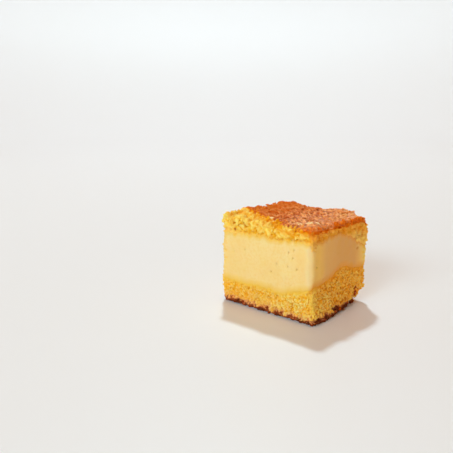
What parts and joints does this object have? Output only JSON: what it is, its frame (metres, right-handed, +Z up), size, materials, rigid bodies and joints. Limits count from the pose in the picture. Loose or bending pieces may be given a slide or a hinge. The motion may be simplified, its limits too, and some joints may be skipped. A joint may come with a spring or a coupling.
{
  "type": "cut square of tapioca cake",
  "caption": "Cut square of tapioca cake: a browned sponge top and a sponge base around a thick layer of pale set cream.",
  "frame": {"origin": "centre of the bounding box at its bottom, on the surface that the cake stands on", "axes": "+Z up, the front cut face looks along -Y, the right cut face along +X"},
  "size_m": [0.0573, 0.0486, 0.0467],
  "materials": {
    "sponge": "matte",
    "cream": "satin",
    "browned_sponge": "matte"
  },
  "bodies": {
    "root": {"sponge_base": "sponge", "cream_filling": "cream", "sponge_top": "browned_sponge"}
  },
  "joints": []
}
